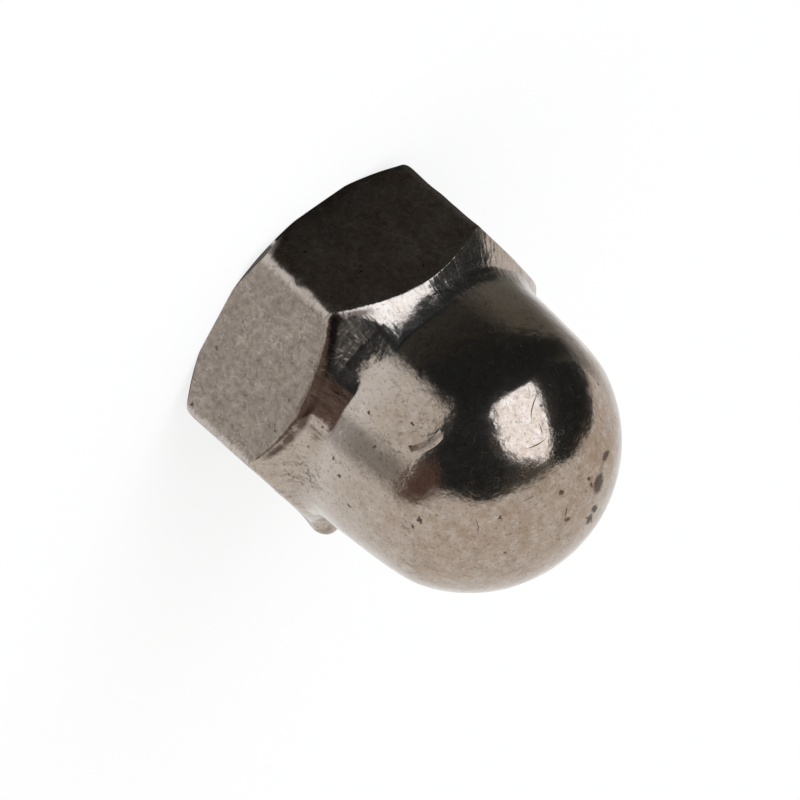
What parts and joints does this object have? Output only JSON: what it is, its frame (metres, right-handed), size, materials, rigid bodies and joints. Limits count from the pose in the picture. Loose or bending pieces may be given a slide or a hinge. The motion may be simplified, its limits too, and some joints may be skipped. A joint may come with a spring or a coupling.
{
  "type": "cap nut",
  "caption": "Domed hexagon cap nut in bright plated steel, with a round nose over a blind tapped hole and bevelled hexagon ends.",
  "frame": {"origin": "centre of the flat bearing face", "axes": "+Z along the thread axis, from the bearing face to the tip of the nose; two corners of the hexagon on the X axis"},
  "size_m": [0.0148, 0.013, 0.015],
  "materials": {
    "bright_plate": "worn bright plating on steel: mirror-like on the nose, satin and pitted on the hexagon"
  },
  "bodies": {
    "root": {"cap_nut": "bright_plate"}
  },
  "joints": []
}
